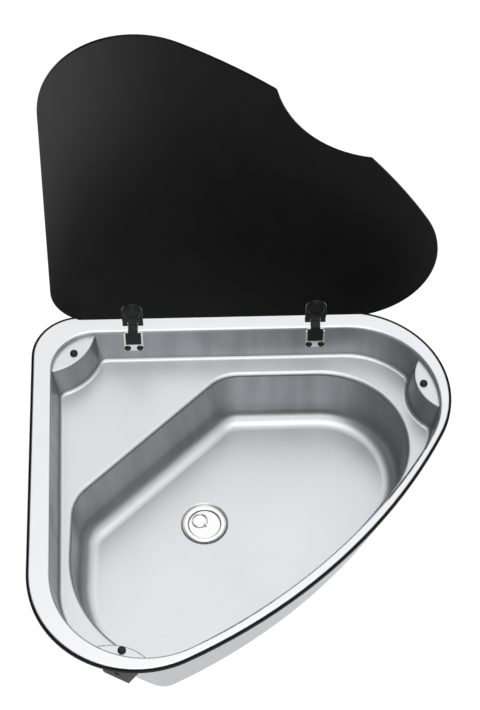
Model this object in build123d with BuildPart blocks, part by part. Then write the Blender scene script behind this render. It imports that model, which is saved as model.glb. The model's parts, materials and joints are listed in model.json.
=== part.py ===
from build123d import *
import cmath
import math
import os

os.makedirs("parts", exist_ok=True)

# Corner sink for a leisure vehicle, dropped into a worktop, with a hinged glass lid.
# Millimetres. Z = 0 is the worktop, -Y is the front, the hinges are along the back.

# clearances
seat = 0.05
soft_gap = 0.3
pin_gap = 0.05
leaf_gap = 0.3
lid_gap = 2.5

# pressed steel basin
sheet = 0.9
flange_top = 6.0
rim_drop = 4.0
rim_edge_fillet = 2.0
lip_fillet = 3.5
ledge_z = -2.0
shelf_z = -50.0
floor_z = -146.0
recess_draft = 8.0
bowl_draft = 4.0
corner_blend = 14.0
tip_blend = 2.0
shelf_fillet = 6.0
bowl_edge_fillet = 6.0
seam_reach = 7.0
bowl_floor_fillet = 24.0

# closed outlines: a start point (x + iy), a heading, then straight runs and (radius, turn) bends
# a run of None takes the length that closes the loop
rim_outline = (0.0 - 63.4j, -89.12,
               [None, (140.4, 114.43), (756.7, 36.09), (137.1, 118.6), None, (62.4, 90.88)])
lip_outline = (25.1 - 86.6j, -88.6,
               [None, (124.0, 115.6), (789.0, 32.2), (122.0, 120.8), None, (60.3, 91.4)])
bowl_outline = (55.5 - 282.6j, -91.0,
                [None, (165.0, 70.0), (36.0, 46.7), (775.0, 29.0), (117.0, 125.3), None,
                 (55.0, 44.0), 235.0, (58.0, 45.0)])

# ledges that carry the lid bumpers: centre and radius of the round inner side
ledges = [(12.0, -14.0, 72.0), (577.0, -106.0, 58.0), (109.0, -564.0, 65.0)]
ledge_round = 2.5
bumper_spots = {"rear_left": (54.8, -55.2), "right": (530.8, -117.8), "front": (125.0, -508.0)}
bumper_radius = 5.3
bumper_dome = 2.6

# drain
drain_x = 229.0
drain_y = -245.0
dimple_radius = 32.5
dimple_depth = 2.5
dimple_fillet = 1.5
dimple_edge_fillet = 2.0
drain_hole = 2 * (dimple_radius - 8.5)
cup_radius = dimple_radius - 10.1
cup_wall = 1.0
strainer_z = -160.0
outer_holes = cup_radius - 6.9
inner_holes = cup_radius - 13.0

# rim seal
seal_out = 2.5
seal_in = 6.0
seal_base = 1.7
seal_height = 5.4

# hinges
hinge_spots = {"left": 136.0, "right": 388.0}
hinge_y = -14.7
hinge_z = 9.5
pin_radius = 1.5
barrel_radius = 3.2
neck_width = 13.4
arm_width = 28.4
leaf_width = arm_width - 6.8
bracket_width = arm_width - 2.2
lip_width = 2.0
neck_top = 9.0
neck_low = 6.35
open_angle = 96.7
glass_bottom = 2.0
glass_thick = 4.0
glass_edge = 16.9
clamp_reach = 35.0
clamp_hole = 9.0
boss_radius = 3.2
pad_gap = 1.2
knuckle_gap = 0.6
neck_pocket = 15.5
arm_thick = 3.4
cap_thick = 3.0
leaf_top_z = 4.0
leaf_bottom_z = -17.6
bracket_bottom_z = -31.5
bracket_thick = 1.0
leaf_thick = 2.2
leaf_screw_z = -26.0
leaf_screw_apart = 17.0
leaf_screw_head = 4.6
leaf_screw_dome = 3.0

# lid cut-out for the tap
tap_x = 477.0
tap_y = -465.0
tap_radius = 150.0

# what is trimmed off the lid along its back edge, and how its corners are rounded
trim_width = 1500.0
trim_depth = 60.0
back_corner = 6.0
left_horn = 9.0
right_horn = 18.0
edge_bevel = 0.5

# fasteners
screw_radius = 1.95
nut_bore = 2.0
sheet_bore = 2.2
nut_reach = 4.0
nut_height = 3.2

# round heads of the clamps
cap_face = 11.2
cap_flare = 12.4
cap_dish = 9.2
cap_pocket = 4.0
clamp_head = 3.8
clamp_key = 1.45
pad_radius = 12.5

# folded fixing brackets, one hung under each bumper
bracket_facing = {"rear_left": 136.0, "right": 14.3, "front": 242.5}
bracket_reach = 17.0
bracket_ends = (-20.3, 16.3)
bracket_return = (-0.5, 20.8)
bracket_sheet = 2.0
bracket_low = -48.0
bracket_slot = (8.0, 4.0)
bracket_slot_z = -35.0
bracket_pad = 4.2
stud_radius = 2.0
stud_head = 3.2


fall = math.tan(math.radians(recess_draft))
drop = math.tan(math.radians(bowl_draft))


def unit(heading):
    return cmath.exp(1j * math.radians(heading))


def bend(heading, radius, turn):
    return radius * (unit(heading + turn - 90) - unit(heading - 90))


def walk(outline, grow=0.0):
    # steps (start, middle, end, heading) round an outline grown outwards by `grow`
    start, first, path = outline
    drift = 0j
    heading = first
    free = []
    for item in path:
        if item is None:
            free.append(unit(heading))
        elif isinstance(item, tuple):
            drift += bend(heading, item[0] + grow, item[1])
            heading += item[1]
        else:
            drift += item * unit(heading)
    u, w = free
    cross = (u.conjugate() * w).imag
    runs = [(-drift.conjugate() * w).imag / cross, (u.conjugate() * -drift).imag / cross]
    steps = []
    here = start + grow * unit(first - 90)
    heading = first
    for item in path:
        if isinstance(item, tuple):
            middle = here + bend(heading, item[0] + grow, item[1] / 2)
            there = here + bend(heading, item[0] + grow, item[1])
            steps.append((here, middle, there, heading))
            heading += item[1]
        else:
            there = here + (runs.pop(0) if item is None else item) * unit(heading)
            steps.append((here, None, there, heading))
        here = there
    return steps


def loop_face(outline, grow=0.0):
    edges = []
    for here, middle, there, _ in walk(outline, grow):
        a = (here.real, here.imag)
        b = (there.real, there.imag)
        edges.append(Line(a, b) if middle is None else ThreePointArc(a, (middle.real, middle.imag), b))
    return Face(Wire(edges))


def slab(outline, grow, low, high):
    with BuildPart() as body:
        with BuildSketch(Plane.XY.offset(low)):
            add(loop_face(outline, grow))
        extrude(amount=high - low)
    return body.part


def level_edges(body, z):
    return [e for e in body.edges() if abs(e.center().Z - z) < 0.01 and e.bounding_box().size.Z < 0.01]


def recess_plan(z, blend):
    # the recess at height z: the lip outline drawn in by the draft, less the ledges, inner corners blended
    spread = (ledge_z - z) * fall
    with BuildSketch() as plan:
        add(loop_face(lip_outline, (z - flange_top) * fall))
        for x, y, r in ledges:
            with Locations((x, y)):
                Circle(r + spread, mode=Mode.SUBTRACT)
        tips = [v for v in plan.vertices()
                if any(abs(math.hypot(v.X - x, v.Y - y) - r - spread) < 0.01 for x, y, r in ledges)]
        fillet(tips, blend)
    return plan.sketch.faces()[0].outer_wire().order_edges()


def grown_face(ring, grow):
    # a smooth closed outline with every point moved out along its normal
    inside = Face(Wire(ring))
    edges = []
    for edge in ring:
        points = []
        for share in (0, 0.5, 1):
            spot = edge.position_at(share)
            along = edge.tangent_at(share)
            out = Vector(along.Y, -along.X)
            points.append(spot + out * (-grow if inside.is_inside(spot + out) else grow))
        straight = edge.geom_type == GeomType.LINE
        edges.append(Line(points[0], points[2]) if straight else ThreePointArc(*points))
    return Face(Wire(edges))


def ledge_roll(skin):
    # the band in which the walls of the ledges roll over into their tops, kept inside the lip's wall
    step = ledge_z - skin
    curl = ledge_round - skin
    with BuildPart() as band:
        for lean in (0, 30, 60, 90):
            z = step - curl * (1 - math.sin(math.radians(lean)))
            out = curl * (1 - math.cos(math.radians(lean)))
            with BuildSketch(Plane.XY.offset(z)):
                add(grown_face(head_ring, skin + (z - ledge_z + ledge_round) * fall + out))
        loft(ruled=True)
        with BuildPart(mode=Mode.PRIVATE) as wall:
            for z in (step - curl, step):
                with BuildSketch(Plane.XY.offset(z)):
                    add(loop_face(lip_outline, skin + (z - flange_top) * fall))
            loft(ruled=True)
        add(wall.part, mode=Mode.INTERSECT)
    return band.part


def hollow(skin):
    # the space inside the basin, grown by `skin` to give the outside of the sheet
    step = ledge_z - skin
    start = ledge_z - ledge_round
    low = shelf_z - skin
    deep = floor_z - skin
    with BuildPart() as body:
        with BuildSketch(Plane.XY.offset(low)):
            add(grown_face(foot_ring, skin + (low - shelf_z) * fall))
        with BuildSketch(Plane.XY.offset(start)):
            add(grown_face(head_ring, skin))
        loft(ruled=True)
        with BuildPart(mode=Mode.PRIVATE) as upper:
            with BuildSketch(Plane.XY.offset(step)):
                add(loop_face(lip_outline, skin + (step - flange_top) * fall))
            with BuildSketch(Plane.XY.offset(flange_top)):
                add(loop_face(lip_outline, skin))
            loft(ruled=True)
        add(ledge_roll(skin))
        add(upper.part)
        fillet(level_edges(body, low), shelf_fillet + skin)
        with BuildPart(mode=Mode.PRIVATE) as pot:
            with BuildSketch(Plane.XY.offset(deep)):
                add(loop_face(bowl_outline, skin + (deep - shelf_z) * drop))
            with BuildSketch(Plane.XY.offset(low)):
                add(loop_face(bowl_outline, skin + (low - shelf_z) * drop))
            loft(ruled=True)
            fillet(level_edges(pot, deep), bowl_floor_fillet + skin)
        add(pot.part)
        shelf = [f for f in body.faces().filter_by(Axis.Z) if abs(f.center().Z - low) < 0.01][0]
        fillet(shelf.inner_wires()[0].edges(), bowl_edge_fillet - skin)
        with Locations((drain_x, drain_y, deep - dimple_depth)):
            Cone(dimple_radius - dimple_depth + skin, dimple_radius + skin, dimple_depth,
                 align=(Align.CENTER, Align.CENTER, Align.MIN))
        fillet([e for e in level_edges(body, deep)
                if math.hypot(e.center().X - drain_x, e.center().Y - drain_y) < 1.2 * dimple_radius],
               dimple_edge_fillet)
        fillet(level_edges(body, deep - dimple_depth), dimple_fillet)
    return body.part


def wall_plane(x):
    # on the inner face of the back wall: x along it, y up it, z into the basin
    tilt = math.radians(recess_draft)
    back = walk(lip_outline)[4][0].imag
    return Plane(origin=(x, back, flange_top), x_dir=(1, 0, 0), z_dir=(0, -math.cos(tilt), math.sin(tilt)))


def wall_depth(z):
    return (z - flange_top) / math.cos(math.radians(recess_draft))


def opened(shape):
    return shape.rotate(Axis((0, hinge_y, hinge_z), (1, 0, 0)), -open_angle)


foot_ring = recess_plan(shelf_z, corner_blend)
head_ring = recess_plan(ledge_z - ledge_round, tip_blend)
leaf_screw_spots = [(-leaf_screw_apart / 2, wall_depth(leaf_screw_z)),
                    (leaf_screw_apart / 2, wall_depth(leaf_screw_z))]

# basin
with BuildPart() as basin:
    with BuildSketch(Plane.XY.offset(flange_top - rim_drop)):
        add(loop_face(rim_outline))
    extrude(amount=rim_drop)
    fillet(level_edges(basin, flange_top), rim_edge_fillet)
    with BuildPart(mode=Mode.PRIVATE) as under:
        with BuildSketch(Plane.XY.offset(flange_top - rim_drop)):
            add(loop_face(rim_outline, -sheet))
        extrude(amount=rim_drop - sheet)
        fillet(level_edges(under, flange_top - sheet), rim_edge_fillet - sheet)
    add(under.part, mode=Mode.SUBTRACT)
    add(hollow(sheet))
    root = [e for e in level_edges(basin, flange_top - sheet)
            if loop_face(lip_outline, 3).is_inside(Vector((e @ 0.5).X, (e @ 0.5).Y, 0))]
    fillet(root, lip_fillet - sheet)
    add(hollow(0.0), mode=Mode.SUBTRACT)
    brim = [e for e in level_edges(basin, flange_top)
            if loop_face(lip_outline, 3).is_inside(Vector((e @ 0.5).X, (e @ 0.5).Y, 0))]
    fillet(brim, lip_fillet)
    with Locations((drain_x, drain_y, floor_z - dimple_depth)):
        Cylinder(drain_hole / 2, 6, mode=Mode.SUBTRACT)
    for x, y in bumper_spots.values():
        with Locations((x, y, ledge_z)):
            Cylinder(stud_radius + seat, 6, mode=Mode.SUBTRACT)
    for x in hinge_spots.values():
        for sx, sy in leaf_screw_spots:
            with Locations(wall_plane(x) * Pos(sx, sy, 0)):
                Cylinder(sheet_bore, 8, mode=Mode.SUBTRACT)

# the bowl is welded into the tray round its rolled edge and ground flush
bowl_zone = slab(bowl_outline, seam_reach, floor_z - dimple_depth - 5, shelf_z + 3)

with BuildPart() as basin_tray:
    add(basin.part)
    add(bowl_zone, mode=Mode.SUBTRACT)
basin_tray.part.label = "basin_tray"
export_step(basin_tray.part, "parts/basin_tray.step")

with BuildPart() as basin_bowl:
    add(basin.part)
    add(bowl_zone, mode=Mode.INTERSECT)
basin_bowl.part.label = "basin_bowl"
export_step(basin_bowl.part, "parts/basin_bowl.step")

# rim seal
with BuildPart() as rim_seal:
    add(slab(rim_outline, seal_out, 0, seal_height))
    add(slab(rim_outline, soft_gap, flange_top - sheet - soft_gap, seal_height), mode=Mode.SUBTRACT)
    with BuildPart(mode=Mode.PRIVATE) as groove:
        add(slab(rim_outline, soft_gap, seal_base, seal_height))
        add(slab(rim_outline, -rim_edge_fillet - soft_gap, seal_base, seal_height), mode=Mode.SUBTRACT)
    add(groove.part, mode=Mode.SUBTRACT)
    add(slab(rim_outline, -seal_in, 0, seal_height), mode=Mode.SUBTRACT)
    fillet([e for e in level_edges(rim_seal, seal_height)
            if not loop_face(rim_outline, 1.5).is_inside(Vector((e @ 0.5).X, (e @ 0.5).Y, 0))], 0.8)
rim_seal.part.label = "rim_seal"
export_step(rim_seal.part, "parts/rim_seal.step")

# lid, drawn closed and then opened
glass_top = glass_bottom + glass_thick
glass_back = hinge_y - glass_edge
clamp_y = hinge_y - clamp_reach


def is_clamp_hole(edge):
    return edge.geom_type == GeomType.CIRCLE and abs(edge.radius - clamp_hole / 2) < 0.01


with BuildPart() as pane:
    with BuildSketch(Plane.XY.offset(glass_bottom)) as sheet_of_glass:
        add(loop_face(lip_outline, -lid_gap))
        with Locations((0, glass_back)):
            Rectangle(trim_width, trim_depth, align=(Align.CENTER, Align.MIN), mode=Mode.SUBTRACT)
        back_corners = [v for v in sheet_of_glass.vertices() if abs(v.Y - glass_back) < 0.01]
        fillet(back_corners, back_corner)
        with Locations((tap_x, tap_y)):
            Circle(tap_radius, mode=Mode.SUBTRACT)
        horns = sorted([v for v in sheet_of_glass.vertices()
                        if abs(math.hypot(v.X - tap_x, v.Y - tap_y) - tap_radius) < 0.01],
                       key=lambda v: v.X)
        fillet(horns[0], left_horn)
        fillet(horns[1], right_horn)
        for x in hinge_spots.values():
            with Locations((x, clamp_y)):
                Circle(clamp_hole / 2, mode=Mode.SUBTRACT)
    extrude(amount=glass_thick)
    chamfer([e for e in pane.edges() if e.bounding_box().size.Z < 0.01 and not is_clamp_hole(e)],
            edge_bevel)
with BuildPart() as lid_glass:
    add(opened(pane.part))
lid_glass.part.label = "lid_glass"
export_step(lid_glass.part, "parts/lid_glass.step")

arm_low = glass_top + pad_gap
arm_high = arm_low + arm_thick
cap_high = glass_bottom - pad_gap
cap_low = cap_high - cap_thick
screw_head_z = cap_low + 1.6
axis_line = (0, hinge_y, hinge_z)


def clamp_plan(near):
    # round-headed plate from `near` to the head, seen from above
    with BuildSketch() as plan:
        with Locations((0, clamp_y)):
            Circle(arm_width / 2)
        with Locations((0, near)):
            Rectangle(arm_width, near - clamp_y, align=(Align.CENTER, Align.MAX))
    return plan.sketch


def hinge_arm(x):
    # outer clamp plate with two knuckles either side of the leaf, and a pocket that the neck folds into
    with BuildPart() as arm:
        with BuildSketch(Plane.XY.offset(arm_low)):
            add(clamp_plan(hinge_y))
        extrude(amount=arm_high - arm_low)
        fillet(level_edges(arm, arm_high), 1.2)
        with Locations((0, clamp_y, cap_high + seat)):
            Cylinder(boss_radius, arm_low + 0.5 - cap_high - seat,
                     align=(Align.CENTER, Align.CENTER, Align.MIN))
        with Locations(Location(axis_line, (0, 90, 0))):
            Cylinder(barrel_radius, arm_width)
        with Locations((0, hinge_y + barrel_radius + 1, hinge_z)):
            Box(neck_width + 2 * leaf_gap, 2 * barrel_radius + 1 + knuckle_gap, 4 * barrel_radius,
                align=(Align.CENTER, Align.MAX, Align.CENTER), mode=Mode.SUBTRACT)
        with Locations((0, hinge_y, neck_top + leaf_gap)):
            Box(neck_width + 2 * leaf_gap, neck_pocket, 2 * arm_thick,
                align=(Align.CENTER, Align.MAX, Align.MAX), mode=Mode.SUBTRACT)
        with Locations(Location(axis_line, (0, 90, 0))):
            Cylinder(pin_radius + pin_gap, arm_width + 2, mode=Mode.SUBTRACT)
        with Locations((0, clamp_y, cap_high)):
            Cylinder(nut_bore, 6.8, align=(Align.CENTER, Align.CENTER, Align.MIN), mode=Mode.SUBTRACT)
    return opened(arm.part).moved(Location((x, 0, 0)))


def hinge_cap(x):
    # inner clamp plate, the round head seen on the underside of the lid
    with BuildPart() as cap:
        with BuildSketch(Plane.XY.offset(cap_low)):
            add(clamp_plan(hinge_y - glass_edge - 1))
        extrude(amount=cap_high - cap_low)
        fillet(level_edges(cap, cap_low), 0.8)
        with Locations((0, clamp_y, cap_low - 1.0)):
            Cone(cap_face, cap_flare, 1.4, align=(Align.CENTER, Align.CENTER, Align.MIN))
        with Locations((0, clamp_y, cap_low - 1.1)):
            Cylinder(cap_dish, 1.1, align=(Align.CENTER, Align.CENTER, Align.MIN), mode=Mode.SUBTRACT)
        with Locations((0, clamp_y, cap_low - 0.1)):
            Cylinder(cap_pocket, 1.7, align=(Align.CENTER, Align.CENTER, Align.MIN), mode=Mode.SUBTRACT)
        with Locations((0, clamp_y, cap_low)):
            Cylinder(nut_bore + 0.1, 8, mode=Mode.SUBTRACT)
    return opened(cap.part).moved(Location((x, 0, 0)))


def grommet(x):
    # rubber pads above and below the glass, joined by a sleeve through the hole
    pad = pad_gap - 2 * soft_gap
    with BuildPart() as pads:
        for z in (glass_top + soft_gap, glass_bottom - soft_gap - pad):
            with Locations((0, clamp_y, z)):
                Cylinder(pad_radius, pad, align=(Align.CENTER, Align.CENTER, Align.MIN))
        with Locations((0, clamp_y, glass_bottom - soft_gap - pad)):
            Cylinder(clamp_hole / 2 - soft_gap, glass_thick + 2 * soft_gap + 2 * pad,
                     align=(Align.CENTER, Align.CENTER, Align.MIN))
        with Locations((0, clamp_y, glass_bottom)):
            Cylinder(boss_radius + soft_gap, 20, mode=Mode.SUBTRACT)
    return opened(pads.part).moved(Location((x, 0, 0)))


with BuildPart() as hinge_arm_left:
    add(hinge_arm(hinge_spots["left"]))
hinge_arm_left.part.label = "hinge_arm_left"
export_step(hinge_arm_left.part, "parts/hinge_arm_left.step")

with BuildPart() as hinge_arm_right:
    add(hinge_arm(hinge_spots["right"]))
hinge_arm_right.part.label = "hinge_arm_right"
export_step(hinge_arm_right.part, "parts/hinge_arm_right.step")

with BuildPart() as hinge_cap_left:
    add(hinge_cap(hinge_spots["left"]))
hinge_cap_left.part.label = "hinge_cap_left"
export_step(hinge_cap_left.part, "parts/hinge_cap_left.step")

with BuildPart() as hinge_cap_right:
    add(hinge_cap(hinge_spots["right"]))
hinge_cap_right.part.label = "hinge_cap_right"
export_step(hinge_cap_right.part, "parts/hinge_cap_right.step")

with BuildPart() as grommet_left:
    add(grommet(hinge_spots["left"]))
grommet_left.part.label = "grommet_left"
export_step(grommet_left.part, "parts/grommet_left.step")

with BuildPart() as grommet_right:
    add(grommet(hinge_spots["right"]))
grommet_right.part.label = "grommet_right"
export_step(grommet_right.part, "parts/grommet_right.step")

with BuildPart() as clamp_screw:
    with Locations((0, clamp_y, screw_head_z - 1.6)):
        Cylinder(clamp_head, 1.55, align=(Align.CENTER, Align.CENTER, Align.MIN))
    fillet(level_edges(clamp_screw, screw_head_z - 1.6), 0.4)
    with Locations((0, clamp_y, screw_head_z - 0.3)):
        Cylinder(screw_radius, 8.0, align=(Align.CENTER, Align.CENTER, Align.MIN))
    with BuildSketch(Plane.XY.offset(screw_head_z - 1.6)):
        with Locations((0, clamp_y)):
            RegularPolygon(clamp_key, 6)
    extrude(amount=1.0, mode=Mode.SUBTRACT)
with BuildPart() as clamp_screws:
    for x in hinge_spots.values():
        add(opened(clamp_screw.part).moved(Location((x, 0, 0))))
clamp_screws.part.label = "clamp_screws"
export_step(clamp_screws.part, "parts/clamp_screws.step")

# fixed half of the hinges
with BuildPart() as hinge_pins:
    for x in hinge_spots.values():
        with Locations(Location((x, hinge_y, hinge_z), (0, 90, 0))):
            Cylinder(pin_radius, arm_width - 0.4)
    chamfer(hinge_pins.edges().filter_by(GeomType.CIRCLE), 0.3)
hinge_pins.part.label = "hinge_pins"
export_step(hinge_pins.part, "parts/hinge_pins.step")

plate_top = wall_depth(leaf_top_z)
plate_bottom = wall_depth(leaf_bottom_z)
bracket_bottom = wall_depth(bracket_bottom_z)
leaf_back = bracket_thick + 2 * seat
leaf_front = leaf_back + leaf_thick


def hinge_bracket(x):
    # stainless backing plate on the wall, its side lips standing either side of the leaf
    with BuildPart() as plate:
        with BuildSketch(wall_plane(x).offset(seat)) as back:
            with Locations((0, plate_top)):
                Rectangle(bracket_width, plate_top - bracket_bottom, align=(Align.CENTER, Align.MAX))
            fillet([v for v in back.vertices()], 2.5)
            with Locations(leaf_screw_spots[0], leaf_screw_spots[1]):
                Circle(sheet_bore, mode=Mode.SUBTRACT)
        extrude(amount=bracket_thick)
        with BuildSketch(wall_plane(x).offset(seat)):
            for side in (-1, 1):
                with Locations((side * (bracket_width - lip_width) / 2, plate_top - 2.6)):
                    Rectangle(lip_width, plate_top - plate_bottom - 2.6, align=(Align.CENTER, Align.MAX))
        extrude(amount=leaf_front)
    return plate.part


def hinge_leaf(x):
    # plate on the bracket, a neck over the lip and a barrel between the knuckles
    plane = wall_plane(x)
    with BuildPart() as leaf:
        with BuildSketch(plane.offset(leaf_back)):
            with Locations((0, plate_top - 0.5)):
                Rectangle(leaf_width, plate_top - 0.5 - plate_bottom, align=(Align.CENTER, Align.MAX))
        extrude(amount=leaf_thick)
        foot_back = plane.from_local_coords(Vector(0, plate_top - 8, leaf_back))
        foot_front = plane.from_local_coords(Vector(0, plate_top - 8, leaf_front))
        crest = plane.from_local_coords(Vector(0, wall_depth(neck_top) - leaf_front * fall, leaf_front))
        root = plane.from_local_coords(Vector(0, wall_depth(neck_low), leaf_back))
        with BuildSketch(Plane(origin=(x, 0, 0), x_dir=(0, 1, 0), z_dir=(1, 0, 0))) as side:
            with BuildLine():
                Polyline((foot_back.Y, foot_back.Z), (foot_front.Y, foot_front.Z), (crest.Y, crest.Z),
                         (hinge_y, neck_top), (hinge_y, neck_low), (root.Y, root.Z), close=True)
            make_face()
            fillet([v for v in side.vertices() if abs(v.Y - crest.Y) < 0.01
                    and abs(v.Z - crest.Z) < 0.01], 2.0)
        extrude(amount=neck_width / 2, both=True)
        with Locations(Location((x, hinge_y, hinge_z), (0, 90, 0))):
            Cylinder(barrel_radius - 0.1, neck_width)
            Cylinder(pin_radius + pin_gap, neck_width + 2, mode=Mode.SUBTRACT)
        with BuildSketch(plane.offset(leaf_front - 0.5)):
            with Locations((0, plate_bottom + 4.5)):
                SlotOverall(9, 2.2)
        extrude(amount=2, mode=Mode.SUBTRACT)
    return leaf.part


with BuildPart() as hinge_bracket_left:
    add(hinge_bracket(hinge_spots["left"]))
hinge_bracket_left.part.label = "hinge_bracket_left"
export_step(hinge_bracket_left.part, "parts/hinge_bracket_left.step")

with BuildPart() as hinge_bracket_right:
    add(hinge_bracket(hinge_spots["right"]))
hinge_bracket_right.part.label = "hinge_bracket_right"
export_step(hinge_bracket_right.part, "parts/hinge_bracket_right.step")

with BuildPart() as hinge_leaf_left:
    add(hinge_leaf(hinge_spots["left"]))
hinge_leaf_left.part.label = "hinge_leaf_left"
export_step(hinge_leaf_left.part, "parts/hinge_leaf_left.step")

with BuildPart() as hinge_leaf_right:
    add(hinge_leaf(hinge_spots["right"]))
hinge_leaf_right.part.label = "hinge_leaf_right"
export_step(hinge_leaf_right.part, "parts/hinge_leaf_right.step")

with BuildPart() as leaf_screw:
    with Locations((0, 0, bracket_thick + 2 * seat)):
        Cylinder(leaf_screw_head, leaf_screw_dome, align=(Align.CENTER, Align.CENTER, Align.MIN))
    fillet(level_edges(leaf_screw, bracket_thick + 2 * seat + leaf_screw_dome), 2.8)
    with Locations((0, 0, bracket_thick + 0.5)):
        Cylinder(screw_radius, 7.5, align=(Align.CENTER, Align.CENTER, Align.MAX))
with BuildPart() as leaf_nut:
    with BuildSketch(Plane.XY.offset(-sheet - seat)):
        RegularPolygon(nut_reach, 6)
        Circle(nut_bore, mode=Mode.SUBTRACT)
    extrude(amount=-nut_height)
with BuildPart() as leaf_screws:
    for x in hinge_spots.values():
        for sx, sy in leaf_screw_spots:
            add(leaf_screw.part.moved(wall_plane(x).location * Location((sx, sy, 0))))
leaf_screws.part.label = "leaf_screws"
export_step(leaf_screws.part, "parts/leaf_screws.step")

with BuildPart() as leaf_nuts:
    for x in hinge_spots.values():
        for sx, sy in leaf_screw_spots:
            add(leaf_nut.part.moved(wall_plane(x).location * Location((sx, sy, 0))))
leaf_nuts.part.label = "leaf_nuts"
export_step(leaf_nuts.part, "parts/leaf_nuts.step")

# lid bumpers
bumper_top = glass_bottom - soft_gap
ledge_under = ledge_z - sheet
bracket_top = ledge_under - seat
nut_top = bracket_top - bracket_sheet - seat
with BuildPart() as bumper:
    with Locations((0, 0, ledge_z + soft_gap)):
        Cylinder(bumper_radius, bumper_top - ledge_z - soft_gap,
                 align=(Align.CENTER, Align.CENTER, Align.MIN))
    fillet(level_edges(bumper, bumper_top), bumper_dome)
    with Locations((0, 0, ledge_z + soft_gap)):
        Cylinder(stud_head + seat, 1.3, align=(Align.CENTER, Align.CENTER, Align.MIN), mode=Mode.SUBTRACT)

with BuildPart() as bumper_rear_left:
    add(bumper.part.moved(Location((*bumper_spots["rear_left"], 0))))
bumper_rear_left.part.label = "bumper_rear_left"
export_step(bumper_rear_left.part, "parts/bumper_rear_left.step")

with BuildPart() as bumper_right:
    add(bumper.part.moved(Location((*bumper_spots["right"], 0))))
bumper_right.part.label = "bumper_right"
export_step(bumper_right.part, "parts/bumper_right.step")

with BuildPart() as bumper_front:
    add(bumper.part.moved(Location((*bumper_spots["front"], 0))))
bumper_front.part.label = "bumper_front"
export_step(bumper_front.part, "parts/bumper_front.step")

with BuildPart() as bumper_stud:
    with Locations((0, 0, ledge_z + seat)):
        Cylinder(stud_head, 1.4, align=(Align.CENTER, Align.CENTER, Align.MIN))
    with Locations((0, 0, ledge_z + 0.5)):
        Cylinder(stud_radius, ledge_z + 0.5 - nut_top + 5.0, align=(Align.CENTER, Align.CENTER, Align.MAX))
with BuildPart() as bumper_studs:
    for x, y in bumper_spots.values():
        add(bumper_stud.part.moved(Location((x, y, 0))))
bumper_studs.part.label = "bumper_studs"
export_step(bumper_studs.part, "parts/bumper_studs.step")

# fixing brackets


def fixing_bracket(name):
    # top plate round the stud, an outer plate with a slot, and a return at one end
    low_end, high_end = bracket_ends
    corner = complex(bracket_reach, high_end)
    tip = complex(*bracket_return)
    along = (tip - corner) / abs(tip - corner)
    half_turn = (cmath.phase(along) - math.pi / 2) / 2
    inner = corner + bracket_sheet * cmath.rect(1, math.pi + half_turn) / math.cos(half_turn)
    with BuildPart() as strap:
        with BuildSketch(Plane.XY.offset(bracket_low)):
            with BuildLine():
                Polyline((bracket_reach, low_end), (corner.real, corner.imag), (tip.real, tip.imag),
                         ((tip + bracket_sheet * along * 1j).real, (tip + bracket_sheet * along * 1j).imag),
                         (inner.real, inner.imag), (bracket_reach - bracket_sheet, low_end), close=True)
            make_face()
        extrude(amount=bracket_top - bracket_low)
        with BuildSketch(Plane.XY.offset(bracket_top - bracket_sheet)):
            with BuildLine():
                Polyline((0, -bracket_pad), (bracket_reach, low_end), (corner.real, corner.imag),
                         (0, bracket_pad), close=True)
            make_face()
            Circle(bracket_pad)
        extrude(amount=bracket_sheet)
        foot = [e for e in strap.edges().filter_by(Axis.X)
                if abs(e.center().Y - low_end) < 0.01 and abs(e.center().Z - bracket_low) < 0.01]
        fillet(foot, 4.0)
        Cylinder(stud_radius + seat, -2 * bracket_top + 4, mode=Mode.SUBTRACT)
        with BuildSketch(Plane(origin=(bracket_reach, 0, bracket_slot_z), x_dir=(0, 1, 0), z_dir=(1, 0, 0))):
            SlotOverall(*bracket_slot)
        extrude(amount=-bracket_sheet, mode=Mode.SUBTRACT)
    return strap.part.moved(Location((*bumper_spots[name], 0), (0, 0, bracket_facing[name])))


with BuildPart() as bracket_rear_left:
    add(fixing_bracket("rear_left"))
bracket_rear_left.part.label = "bracket_rear_left"
export_step(bracket_rear_left.part, "parts/bracket_rear_left.step")

with BuildPart() as bracket_right:
    add(fixing_bracket("right"))
bracket_right.part.label = "bracket_right"
export_step(bracket_right.part, "parts/bracket_right.step")

with BuildPart() as bracket_front:
    add(fixing_bracket("front"))
bracket_front.part.label = "bracket_front"
export_step(bracket_front.part, "parts/bracket_front.step")

with BuildPart() as bracket_nut:
    with BuildSketch(Plane.XY.offset(nut_top)):
        RegularPolygon(nut_reach, 6)
        Circle(stud_radius + seat, mode=Mode.SUBTRACT)
    extrude(amount=-nut_height)
with BuildPart() as bracket_nuts:
    for x, y in bumper_spots.values():
        add(bracket_nut.part.moved(Location((x, y, 0))))
bracket_nuts.part.label = "bracket_nuts"
export_step(bracket_nuts.part, "parts/bracket_nuts.step")

# drain
ring_low = floor_z - dimple_depth + 2 * soft_gap + 0.6
ring_high = ring_low + 1.2
under_sheet = floor_z - dimple_depth - sheet
body_top = under_sheet - 2 * soft_gap - 2.0
body_bottom = -182.0
throat = drain_hole / 2 + 0.4
cup_outside = cup_radius + cup_wall
flat_reach = dimple_radius - dimple_depth - dimple_fillet / 2 - 0.35
flange_reach = flat_reach - 0.4
outlet_z = -169.0
spigot_end = throat + 17.6
spigot_radius = 15.0
spigot_bore = 12.0
gasket_thick = 2.0
union_radius = 14.8
union_thick = 1.6
tail_bore = 9.6
tail_radius = 11.2
tail_ridge = 12.5
ridge_pitch = 6.0
nut_radius = 18.0


def ring(outer, inner, low, height):
    with BuildPart() as washer:
        with Locations((drain_x, drain_y, low)):
            Cylinder(outer, height, align=(Align.CENTER, Align.CENTER, Align.MIN))
            Cylinder(inner, height, align=(Align.CENTER, Align.CENTER, Align.MIN), mode=Mode.SUBTRACT)
    return washer.part


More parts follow.
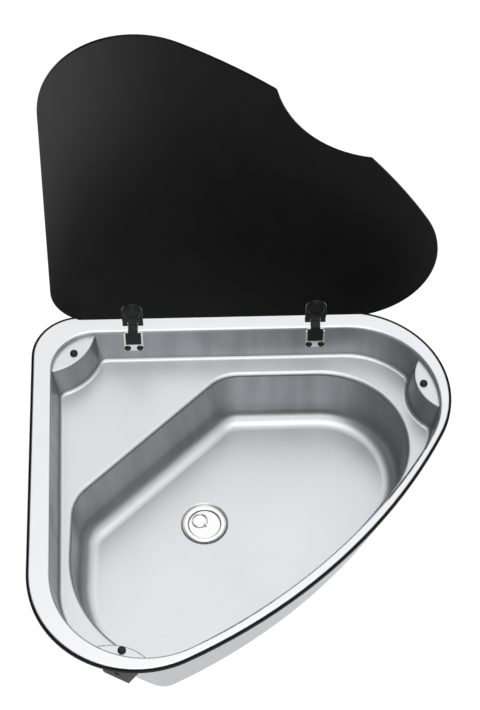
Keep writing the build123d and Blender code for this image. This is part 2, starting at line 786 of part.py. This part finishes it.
with BuildPart() as drain_upper_gasket:
    add(ring(flat_reach - 0.9, drain_hole / 2 + 0.2, floor_z - dimple_depth + soft_gap, 0.6))
drain_upper_gasket.part.label = "drain_upper_gasket"
export_step(drain_upper_gasket.part, "parts/drain_upper_gasket.step")

with BuildPart() as drain_flange:
    with BuildSketch(Plane(origin=(drain_x, drain_y, 0), x_dir=(1, 0, 0), z_dir=(0, -1, 0))):
        with BuildLine():
            rim_run = Line((flange_reach, ring_low), (flange_reach, ring_low + 0.5))
            rim_round = ThreePointArc(rim_run @ 1, (flange_reach - 0.3, ring_high - 0.2),
                                      (flange_reach - 0.9, ring_high))
            flat_run = Line(rim_round @ 1, (cup_radius + 1.2, ring_high))
            mouth_round = ThreePointArc(flat_run @ 1, (cup_radius + 0.35, ring_high - 0.35),
                                        (cup_radius, ring_high - 1.2))
            Polyline(mouth_round @ 1, (cup_radius, strainer_z), (0, strainer_z), (0, strainer_z - 1.2),
                     (cup_outside, strainer_z - 1.2), (cup_outside, ring_low), (flange_reach, ring_low))
        make_face()
    revolve(axis=Axis((drain_x, drain_y, 0), (0, 0, 1)))
    with Locations((drain_x, drain_y, strainer_z)):
        Cylinder(3.2, 6, mode=Mode.SUBTRACT)
        with PolarLocations(outer_holes, 12):
            Cylinder(2.6, 6, mode=Mode.SUBTRACT)
        with PolarLocations(inner_holes, 6):
            Cylinder(2.2, 6, mode=Mode.SUBTRACT)
drain_flange.part.label = "drain_flange"
export_step(drain_flange.part, "parts/drain_flange.step")

with BuildPart() as drain_lower_gasket:
    add(ring(throat + 6.6, throat, under_sheet - soft_gap - gasket_thick, gasket_thick))
drain_lower_gasket.part.label = "drain_lower_gasket"
export_step(drain_lower_gasket.part, "parts/drain_lower_gasket.step")

with BuildPart() as waste_body:
    with Locations((drain_x, drain_y, body_top)):
        Cylinder(throat + 7.6, 3.0, align=(Align.CENTER, Align.CENTER, Align.MAX))
        Cylinder(throat + 2.6, body_top - body_bottom, align=(Align.CENTER, Align.CENTER, Align.MAX))
    fillet(level_edges(waste_body, body_bottom), 3.0)
    with Locations(Location((drain_x, drain_y, outlet_z), (-90, 0, 0))):
        Cylinder(spigot_radius, spigot_end, align=(Align.CENTER, Align.CENTER, Align.MIN))
    with Locations((drain_x, drain_y, body_top)):
        Cylinder(throat, body_top - body_bottom - 2.4, align=(Align.CENTER, Align.CENTER, Align.MAX),
                 mode=Mode.SUBTRACT)
    with Locations(Location((drain_x, drain_y, outlet_z), (-90, 0, 0))):
        Cylinder(spigot_bore, spigot_end + 1, align=(Align.CENTER, Align.CENTER, Align.MIN),
                 mode=Mode.SUBTRACT)
    with Locations((drain_x, drain_y, body_bottom + 1)):
        Cylinder(5.4, 12, align=(Align.CENTER, Align.CENTER, Align.MIN))
    with Locations((drain_x, drain_y, body_bottom + 4)):
        Cylinder(3.0, 12, align=(Align.CENTER, Align.CENTER, Align.MIN), mode=Mode.SUBTRACT)
waste_body.part.label = "waste_body"
export_step(waste_body.part, "parts/waste_body.step")

with BuildPart() as waste_screw:
    with Locations((drain_x, drain_y, strainer_z + seat)):
        Cylinder(5.5, 2.2, align=(Align.CENTER, Align.CENTER, Align.MIN))
    fillet(level_edges(waste_screw, strainer_z + seat + 2.2), 1.0)
    with Locations((drain_x, drain_y, strainer_z + 1)):
        Cylinder(2.95, 18.5, align=(Align.CENTER, Align.CENTER, Align.MAX))
    with Locations((drain_x, drain_y, strainer_z + seat + 2.2)):
        Box(1.4, 14, 1.6, mode=Mode.SUBTRACT)
waste_screw.part.label = "waste_screw"
export_step(waste_screw.part, "parts/waste_screw.step")

with BuildPart() as outlet_seal:
    with Locations(Location((drain_x, drain_y + spigot_end + soft_gap, outlet_z), (-90, 0, 0))):
        Cylinder(union_radius, union_thick, align=(Align.CENTER, Align.CENTER, Align.MIN))
        Cylinder(tail_bore + 0.8, union_thick, align=(Align.CENTER, Align.CENTER, Align.MIN),
                 mode=Mode.SUBTRACT)
outlet_seal.part.label = "outlet_seal"
export_step(outlet_seal.part, "parts/outlet_seal.step")

barb_start = spigot_end + 2 * soft_gap + union_thick
with BuildPart() as outlet_barb:
    with BuildSketch(Plane(origin=(drain_x, drain_y, outlet_z), x_dir=(1, 0, 0), z_dir=(0, 0, -1))):
        with BuildLine():
            collar_end = -barb_start - 2.4
            points = [(tail_bore, -barb_start), (union_radius, -barb_start), (union_radius, collar_end),
                      (tail_radius, collar_end), (tail_radius, -barb_start - 9)]
            for k in range(4):
                ridge = -barb_start - 9 - ridge_pitch * k
                points += [(tail_ridge, ridge), (tail_ridge, ridge - 1.5),
                           (tail_radius, ridge - ridge_pitch)]
            points += [(tail_bore, points[-1][1])]
            Polyline(*points, close=True)
        make_face()
    revolve(axis=Axis((drain_x, drain_y, outlet_z), (0, 1, 0)))
outlet_barb.part.label = "outlet_barb"
export_step(outlet_barb.part, "parts/outlet_barb.step")

with BuildPart() as outlet_nut:
    with Locations(Location((drain_x, drain_y + spigot_end - 9, outlet_z), (-90, 0, 0))):
        Cylinder(nut_radius, 16.0, align=(Align.CENTER, Align.CENTER, Align.MIN))
        Cylinder(spigot_radius + 0.1, 13.7, align=(Align.CENTER, Align.CENTER, Align.MIN),
                 mode=Mode.SUBTRACT)
        Cylinder(tail_radius + 0.2, 20, align=(Align.CENTER, Align.CENTER, Align.MIN), mode=Mode.SUBTRACT)
    with Locations(Location((drain_x, drain_y + spigot_end - 1, outlet_z), (-90, 0, 0))):
        with PolarLocations(nut_radius, 12):
            Cylinder(1.2, 16, mode=Mode.SUBTRACT)
outlet_nut.part.label = "outlet_nut"
export_step(outlet_nut.part, "parts/outlet_nut.step")

# plug with its pull ring
plug_low = -157.2
rubber_top = -149.6
plug_top = -147.9
ring_turn = 137.0
ring_radius = cup_radius - 12.2
ring_wire = 1.0
ring_z = plug_top + 1.5
ring_dir = unit(ring_turn)
eye_at = -1.4 * ring_dir
ring_mid = (ring_radius - 1.4) * ring_dir

with BuildPart() as plug_body:
    with Locations((drain_x, drain_y, plug_low)):
        Cone(cup_radius - 1.2, cup_radius - soft_gap, rubber_top - plug_low,
             align=(Align.CENTER, Align.CENTER, Align.MIN))
        Cylinder(7.0, 3.0, align=(Align.CENTER, Align.CENTER, Align.MIN), mode=Mode.SUBTRACT)
plug_body.part.label = "plug_body"
export_step(plug_body.part, "parts/plug_body.step")

with BuildPart() as plug_cap:
    with Locations((drain_x, drain_y, rubber_top + soft_gap)):
        Cylinder(cup_radius - 0.6, plug_top - rubber_top - soft_gap,
                 align=(Align.CENTER, Align.CENTER, Align.MIN))
    fillet(level_edges(plug_cap, plug_top), 0.7)
    with Locations(Location((drain_x + eye_at.real, drain_y + eye_at.imag, plug_top - 0.5),
                            (0, 0, ring_turn))):
        Box(4.6, 1.8, 4.4, align=(Align.CENTER, Align.CENTER, Align.MIN))
    with Locations(Location((drain_x + eye_at.real, drain_y + eye_at.imag, ring_z), (0, 0, ring_turn))
                   * Location((0, 0, 0), (90, 0, 0))):
        Cylinder(ring_wire + 0.3, 6, mode=Mode.SUBTRACT)
plug_cap.part.label = "plug_cap"
export_step(plug_cap.part, "parts/plug_cap.step")

with BuildPart() as plug_ring:
    with Locations((drain_x + ring_mid.real, drain_y + ring_mid.imag, ring_z)):
        Torus(ring_radius, ring_wire)
plug_ring.part.label = "plug_ring"
export_step(plug_ring.part, "parts/plug_ring.step")
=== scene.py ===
import json
import bpy
import numpy as np
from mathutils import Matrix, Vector

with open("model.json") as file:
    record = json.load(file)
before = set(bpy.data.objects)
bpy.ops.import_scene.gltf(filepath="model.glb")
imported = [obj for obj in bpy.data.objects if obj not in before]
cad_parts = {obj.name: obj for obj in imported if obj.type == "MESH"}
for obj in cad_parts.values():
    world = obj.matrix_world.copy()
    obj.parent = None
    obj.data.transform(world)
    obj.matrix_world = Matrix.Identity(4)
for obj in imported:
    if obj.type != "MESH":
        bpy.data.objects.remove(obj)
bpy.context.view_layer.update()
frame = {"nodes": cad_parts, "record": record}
print("frame loaded:", len(frame["nodes"]), "nodes")


class Wire:
    # a socket that takes part in sums, such as 1 - mask * 0.4
    def __init__(self, graph, socket):
        self.graph = graph
        self.socket = socket

    def maths(self, operation, *values):
        return self.graph.node("ShaderNodeMath", {"operation": operation}, dict(enumerate(values)))

    def __add__(self, other):
        return self.maths("ADD", self, other)

    def __radd__(self, other):
        return self.maths("ADD", other, self)

    def __sub__(self, other):
        return self.maths("SUBTRACT", self, other)

    def __rsub__(self, other):
        return self.maths("SUBTRACT", other, self)

    def __mul__(self, other):
        return self.maths("MULTIPLY", self, other)

    def __rmul__(self, other):
        return self.maths("MULTIPLY", other, self)


class Graph:
    # the node tree of one material or of the world
    def __init__(self, owner):
        owner.use_nodes = True
        self.tree = owner.node_tree
        self.tree.nodes.clear()

    def node(self, kind, settings=None, inputs=None, output=0):
        made = self.tree.nodes.new(kind)
        for key, value in (settings or {}).items():
            setattr(made, key, value)
        for key, value in (inputs or {}).items():
            if isinstance(value, Wire):
                self.tree.links.new(value.socket, made.inputs[key])
            else:
                made.inputs[key].default_value = value
        return Wire(self, made.outputs[output]) if len(made.outputs) else None

    def coordinate(self, kind):
        return self.node("ShaderNodeTexCoord", output=kind)

    def axis(self, vector, letter):
        return self.node("ShaderNodeSeparateXYZ", None, {0: vector}, output=letter)

    def noise(self, scale, detail, rough, stretch=(1, 1, 1)):
        # noise on the piece's own metres, drawn out where `stretch` is small
        place = self.node("ShaderNodeMapping", None, {"Vector": self.coordinate("Object"), "Scale": stretch})
        return self.node("ShaderNodeTexNoise", None,
                         {"Vector": place, "Scale": scale, "Detail": detail, "Roughness": rough})

    def blend(self, share, first, second):
        # colour first * (1 - share) + second * share; 6, 7 and 2 are the Mix node's colour sockets
        return self.node("ShaderNodeMix", {"data_type": "RGBA"}, {0: share, 6: first, 7: second}, output=2)

    def between(self, value, low, high):
        # smooth step from 0 at low to 1 at high, also where low is the larger one
        return self.node("ShaderNodeMapRange", {"interpolation_type": "SMOOTHSTEP"},
                         {"Value": value, "From Min": low, "From Max": high, "To Min": 0.0, "To Max": 1.0})

    def bump(self, height, depth, under=None):
        links = {"Height": height, "Distance": depth, "Strength": 1.0}
        if under is not None:
            links["Normal"] = under
        return self.node("ShaderNodeBump", None, links)

    def paint(self, sockets):
        # a Principled surface; sockets maps names to constants or wires
        shader = self.node("ShaderNodeBsdfPrincipled", None, sockets)
        self.node("ShaderNodeOutputMaterial", None, {"Surface": shader})


def newMaterial(name):
    made = bpy.data.materials.new(name)
    return made, Graph(made)


def grey(level):
    return (level, level, level, 1)


noiseMiddle = 0.5  # the level that noise swings round

# satin sheet of the basin, polished drain parts and the bright hinge plates
basinSteel = {"dark": (0.582, 0.595, 0.609, 1), "light": (0.660, 0.676, 0.691, 1), "roughness": 0.38,
              "roughnessSwing": 0.07, "grainAcross": 900.0, "grainAlong": 25.0, "blotch": 38.0,
              "grainDepth": 0.00002, "waveDepth": 0.00006}
brightSteel = {"dark": (0.70, 0.70, 0.70, 1), "light": (0.80, 0.80, 0.80, 1), "roughness": 0.16,
               "roughnessSwing": 0.05, "grainAcross": 1400.0, "grainAlong": 60.0, "blotch": 120.0,
               "grainDepth": 0.00001, "waveDepth": 0.00002}
plateSteel = {"dark": (0.72, 0.72, 0.72, 1), "light": (0.84, 0.84, 0.84, 1), "roughness": 0.22,
              "roughnessSwing": 0.06, "grainAcross": 1200.0, "grainAlong": 80.0, "blotch": 150.0,
              "grainDepth": 0.00001, "waveDepth": 0.00002}
# what all three share: how fine the patterns are and how much of the colour each one moves
brushing = {"grainDetail": 3.0, "grainRough": 0.6, "grainShare": 0.35,
            "blotchDetail": 3.0, "blotchRough": 0.55, "blotchShare": 0.65}
# the basin alone: broad clouds of tone, partly painted reflection; painted shade on the inner walls,
# streaked; plainer, slightly darker walls outside and a lighter rim of painted light; heights in metres
basinZones = {"cloud": 6.5, "cloudDetail": 2.0, "cloudRough": 0.5, "cloudShare": 1.2,
              "steep": (0.75, 0.35), "middle": (0.27, -0.25, -0.08), "turn": 0.01,
              # the two wall tones are painted shade: inner walls made darker in place of the lid's dark
              # reflection falling on them
              "wallShadeDark": (0.343, 0.354, 0.368, 1), "wallShadeLight": (0.415, 0.428, 0.443, 1),
              "wallHeight": (-0.145, -0.138), "outer": (0.53, 0.54, 0.55, 1),
              "streakAcross": 40.0, "streakAlong": 3.0, "streakDetail": 2.0, "streakRough": 0.5,
              # the rim tone is painted light: the flange top made lighter than the rest of the sheet where
              # it catches the light
              "streakRange": (0.3, 0.7), "rim": (0.71, 0.725, 0.74, 1), "rimHeight": (0.001, 0.004)}


def zonedTone(graph, tone, zones):
    # a steep face is an inner wall where its normal points towards the basin's middle, so where normal .
    # (middle - place) is above 0, and an outer wall elsewhere; inner walls get painted shade, and the rim
    # above rimHeight gets painted light
    normal = graph.coordinate("Normal")
    place = graph.coordinate("Object")
    height = graph.axis(place, "Z")
    facing = graph.axis(normal, "Z")
    steep = graph.between(facing.maths("ABSOLUTE", facing), *zones["steep"])
    inwards = graph.node("ShaderNodeVectorMath", {"operation": "SUBTRACT"}, {0: zones["middle"], 1: place})
    inside = graph.node("ShaderNodeVectorMath", {"operation": "DOT_PRODUCT"}, {0: normal, 1: inwards},
                        output="Value")
    turn = zones["turn"]
    tone = graph.blend(steep * graph.between(inside, turn, -turn), tone, zones["outer"])
    # painted shade: inner walls above wallHeight take a darker streaked tone in place of the lid's dark
    # reflection; the streaks themselves are drawing marks
    paintedShadeWallMask = steep * graph.between(inside, -turn, turn) * graph.between(height, *zones["wallHeight"])
    across, along = zones["streakAcross"], zones["streakAlong"]
    streaks = graph.noise(1.0, zones["streakDetail"], zones["streakRough"], (across, across, along))
    paintedShadeWallTone = graph.blend(graph.between(streaks, *zones["streakRange"]), zones["wallShadeDark"], zones["wallShadeLight"])
    tone = graph.blend(paintedShadeWallMask, tone, paintedShadeWallTone)
    # painted light: everything above rimHeight, the flange, turns to the lighter rim tone
    return graph.blend(graph.between(height, *zones["rimHeight"]), tone, zones["rim"])


def steelMaterial(name, look, zones=None):
    # colour runs dark to light by the weighed sum of grain and blotch, and the roughness swings with both
    made, graph = newMaterial(name)
    across, along = look["grainAcross"], look["grainAlong"]
    grain = graph.noise(1.0, brushing["grainDetail"], brushing["grainRough"], (along, across, across))
    blotch = graph.noise(look["blotch"], brushing["blotchDetail"], brushing["blotchRough"])
    mottle = grain * brushing["grainShare"] + blotch * brushing["blotchShare"]
    if zones:
        # broad clouds of tone: partly random mottle, partly painted reflection standing in for soft
        # reflections on the shelf and floor
        cloud = graph.noise(zones["cloud"], zones["cloudDetail"], zones["cloudRough"])
        mottle = mottle + (cloud - noiseMiddle) * zones["cloudShare"]
    tone = graph.blend(mottle, look["dark"], look["light"])
    if zones:
        tone = zonedTone(graph, tone, zones)
    gloss = look["roughness"] + (grain + blotch - 2 * noiseMiddle) * look["roughnessSwing"]
    waves = graph.bump(blotch, look["waveDepth"])
    relief = graph.bump(grain, look["grainDepth"], waves)
    graph.paint({"Base Color": tone, "Metallic": 1.0, "Roughness": gloss, "Normal": relief})
    return made


# lid glass; its greys are linear, as in all the coats below
blackGlass = {"base": 0.0015, "smear": 0.0035, "roughness": 0.32, "roughnessSwing": 0.05, "haze": 26.0,
              "hazeDetail": 3.0, "hazeRough": 0.5, "ior": 1.5, "shine": 0.1}


def glassMaterial(name, look):
    # near-black glass; its haze shifts the base and the roughness a little
    made, graph = newMaterial(name)
    haze = graph.noise(look["haze"], look["hazeDetail"], look["hazeRough"])
    tone = graph.blend(haze, grey(look["base"]), grey(look["smear"]))
    gloss = look["roughness"] + (haze - noiseMiddle) * look["roughnessSwing"]
    graph.paint({"Base Color": tone, "Roughness": gloss, "IOR": look["ior"],
                 "Specular IOR Level": look["shine"]})
    return made


# enamel, paint, rubber and moulded plastic
blackEnamel = {"base": 0.003, "light": 0.007, "roughness": 0.30, "peel": 1500.0, "depth": 0.00003,
               "shine": 0.25}
blackScrew = {"base": 0.003, "light": 0.010, "roughness": 0.24, "peel": 2200.0, "depth": 0.00002,
              "shine": 0.35}
bracketPaint = {"base": 0.007, "light": 0.014, "roughness": 0.45, "peel": 1200.0, "depth": 0.00005,
                "shine": 0.3}
sealRubber = {"base": 0.0015, "light": 0.004, "roughness": 0.50, "peel": 700.0, "depth": 0.00008,
              "shine": 0.1}
bumperRubber = {"base": 0.003, "light": 0.007, "roughness": 0.34, "peel": 900.0, "depth": 0.00004,
                "shine": 0.3}
wastePlastic = {"base": 0.55, "light": 0.68, "roughness": 0.42, "peel": 500.0, "depth": 0.00008,
                "shine": 0.5}
# what every coat shares: one cloud spans as many grains of peel as peelsPerCloud says
coating = {"peelDetail": 2.0, "peelRough": 0.5, "peelShare": 0.4, "peelsPerCloud": 14,
           "cloudDetail": 3.0, "cloudRough": 0.6, "cloudShare": 0.6, "roughnessSwing": 0.16}


def coatedMaterial(name, look):
    # colour runs base to light with peel and cloud, and the bump follows the fine orange peel
    made, graph = newMaterial(name)
    peel = graph.noise(look["peel"], coating["peelDetail"], coating["peelRough"])
    cloudScale = look["peel"] / coating["peelsPerCloud"]
    cloud = graph.noise(cloudScale, coating["cloudDetail"], coating["cloudRough"])
    mottle = peel * coating["peelShare"] + cloud * coating["cloudShare"]
    tone = graph.blend(mottle, grey(look["base"]), grey(look["light"]))
    gloss = look["roughness"] + (cloud - noiseMiddle) * coating["roughnessSwing"]
    relief = graph.bump(peel, look["depth"])
    graph.paint({"Base Color": tone, "Roughness": gloss, "Normal": relief,
                 "Specular IOR Level": look["shine"]})
    return made


finishes = {
    "stainless": steelMaterial("satinSteel", basinSteel, basinZones),
    "polished_steel": steelMaterial("polishedSteel", brightSteel),
    "bright_plate": steelMaterial("plateSteel", plateSteel),
    "black_glass": glassMaterial("blackGlass", blackGlass),
    "black_enamel": coatedMaterial("blackEnamel", blackEnamel),
    "black_screw": coatedMaterial("blackScrew", blackScrew),
    "black_bracket": coatedMaterial("bracketPaint", bracketPaint),
    "seal_rubber": coatedMaterial("sealRubber", sealRubber),
    "bumper_rubber": coatedMaterial("bumperRubber", bumperRubber),
    "waste_plastic": coatedMaterial("wastePlastic", wastePlastic),
}
print("finishes made:", len(finishes))

for subpart in frame["record"]["subparts"]:
    for holder in frame["nodes"][subpart["node"]].material_slots:
        holder.material = finishes[subpart["material_slot"]]

# the lid and its hinges stay out of the steel's reflections
unmirrored = ("lid_", "hinge_", "leaf_screws")
for name, node in frame["nodes"].items():
    if name.startswith(unmirrored):
        node.visible_glossy = False
print("finishes put on the nodes")

# what the object stands over; squares is how many faces the floor has each way
floorLook = {"height": -0.19, "half": 4.0, "middle": (0.28, -0.2), "squares": 2, "shade": 0.95, "glow": 0.93,
             "strength": 1.07}


def plainSheet(name, look):
    # square in the plane z = height, with x and y running over middle +- half
    row = look["squares"] + 1
    steps = np.linspace(-look["half"], look["half"], row)
    x, y = np.meshgrid(steps + look["middle"][0], steps + look["middle"][1])
    corners = np.stack([x, y, np.full_like(x, look["height"])], axis=-1).reshape(-1, 3)
    first = (np.arange(row - 1)[:, None] * row + np.arange(row - 1)).ravel()
    faces = np.stack([first, first + 1, first + row + 1, first + row], axis=1)
    mesh = bpy.data.meshes.new(name)
    mesh.from_pydata(corners.tolist(), [], faces.tolist())
    sheet = bpy.data.objects.new(name, mesh)
    bpy.context.scene.collection.objects.link(sheet)
    return sheet


def floorMaterial(name, look):
    # matt for light and shadow, glowing where it is seen, mirrored or seen through glass; clear from below
    made, graph = newMaterial(name)
    seen = graph.node("ShaderNodeLightPath", output="Is Camera Ray")
    mirrored = graph.node("ShaderNodeLightPath", output="Is Glossy Ray")
    passed = graph.node("ShaderNodeLightPath", output="Is Transmission Ray")
    matt = graph.node("ShaderNodeBsdfDiffuse", None, {"Color": grey(look["shade"])})
    glow = graph.node("ShaderNodeEmission", None, {"Color": grey(1.0), "Strength": look["strength"]})
    share = passed.maths("MAXIMUM", passed, seen + mirrored) * look["glow"]
    sheet = graph.node("ShaderNodeMixShader", None, {0: share, 1: matt, 2: glow})
    under = graph.node("ShaderNodeNewGeometry", output="Backfacing")
    clear = graph.node("ShaderNodeBsdfTransparent")
    surface = graph.node("ShaderNodeMixShader", None, {0: under, 1: sheet, 2: clear})
    graph.node("ShaderNodeOutputMaterial", None, {"Surface": surface})
    return made


floor = plainSheet("floor", floorLook)
floor.data.materials.append(floorMaterial("floorPaint", floorLook))

# how bright the studio is towards the top, front, left and right; each range is where that side fades in,
# measured along the direction looked in, from -1 to 1
skyLook = {"top": 1.34, "horizon": 0.1, "frontHorizon": 0.6, "front": 0.95, "left": 0.12, "right": 0.75,
           "rise": (0.2, 0.65), "backRange": (-0.8, 0.3), "leftRange": (-0.65, -0.15),
           "rightRange": (0.15, 0.6), "frontRange": (-0.3, -0.8)}


def studioWorld(name, look):
    # dome = front to top going back, times left going right, times right; the horizon rises into the dome
    made = bpy.data.worlds.new(name)
    graph = Graph(made)
    heading = graph.coordinate("Generated")
    eastward, northward, upward = (graph.axis(heading, letter) for letter in "XYZ")
    backShare = graph.between(northward, *look["backRange"])
    leftShare = graph.between(eastward, *look["leftRange"])
    rightShare = graph.between(eastward, *look["rightRange"])
    frontShare = graph.between(northward, *look["frontRange"])
    dome = look["front"] + backShare * (look["top"] - look["front"])
    dome = dome * (look["left"] + leftShare * (1 - look["left"])) * (1 - rightShare * (1 - look["right"]))
    low = look["horizon"] + frontShare * (look["frontHorizon"] - look["horizon"])
    level = low + graph.between(upward, *look["rise"]) * (dome - low)
    # seen straight on or through glass the world is plain white; steel mirrors the studio
    direct = graph.node("ShaderNodeLightPath", output="Is Camera Ray")
    passed = graph.node("ShaderNodeLightPath", output="Is Transmission Ray")
    plain = direct.maths("MAXIMUM", direct, passed)
    strength = level + plain * (1.0 - level)
    surface = graph.node("ShaderNodeBackground", None, {"Color": grey(1.0), "Strength": strength})
    graph.node("ShaderNodeOutputWorld", None, {"Surface": surface})
    return made


bpy.context.scene.world = studioWorld("studio", skyLook)

lampLooks = {
    "overheadLamp": {"at": (0.28, -0.6, 1.8), "aim": (0.28, -0.35, 0.0), "size": (1.3, 1.0), "power": 5.6},
    "frontLamp": {"at": (0.28, -1.6, 0.9), "aim": (0.28, -0.2, -0.05), "size": (1.2, 0.4), "power": 2.2},
    "lidLamp": {"at": (-0.1, -0.55, 0.06), "aim": (0.1, 0.0, 0.35), "size": (0.4, 0.7), "power": 4.5,
                "only": "lid_glass"},
}


def stand(name, data, look):
    # an object at look["at"] whose -z axis points to look["aim"]
    holder = bpy.data.objects.new(name, data)
    bpy.context.scene.collection.objects.link(holder)
    sight = Vector(look["aim"]) - Vector(look["at"])
    holder.location = look["at"]
    holder.rotation_euler = sight.to_track_quat("-Z", "Y").to_euler()
    return holder


def lamp(name, look):
    light = bpy.data.lights.new(name, "AREA")
    light.shape = "RECTANGLE"
    light.size, light.size_y = look["size"]
    light.energy = look["power"]
    holder = stand(name, light, look)
    holder.visible_camera = False
    if "only" in look:
        lit = bpy.data.collections.new(name + "Lit")
        lit.objects.link(frame["nodes"][look["only"]])
        holder.light_linking.receiver_collection = lit


for lampName, lampLook in lampLooks.items():
    lamp(lampName, lampLook)
print("floor, world and lamps set")

cameraLook = {"at": (0.2431, -1.5774, 2.1212), "aim": (0.2826, -0.0678, 0.004), "lens": 96.34,
              "sensor": 36.0, "farthest": 50.0}
camera = stand("camera", bpy.data.cameras.new("camera"), cameraLook)
camera.data.lens = cameraLook["lens"]
camera.data.sensor_width = cameraLook["sensor"]
camera.data.clip_end = cameraLook["farthest"]
bpy.context.scene.camera = camera
bpy.context.scene.view_settings.view_transform = "Standard"
print("camera set")
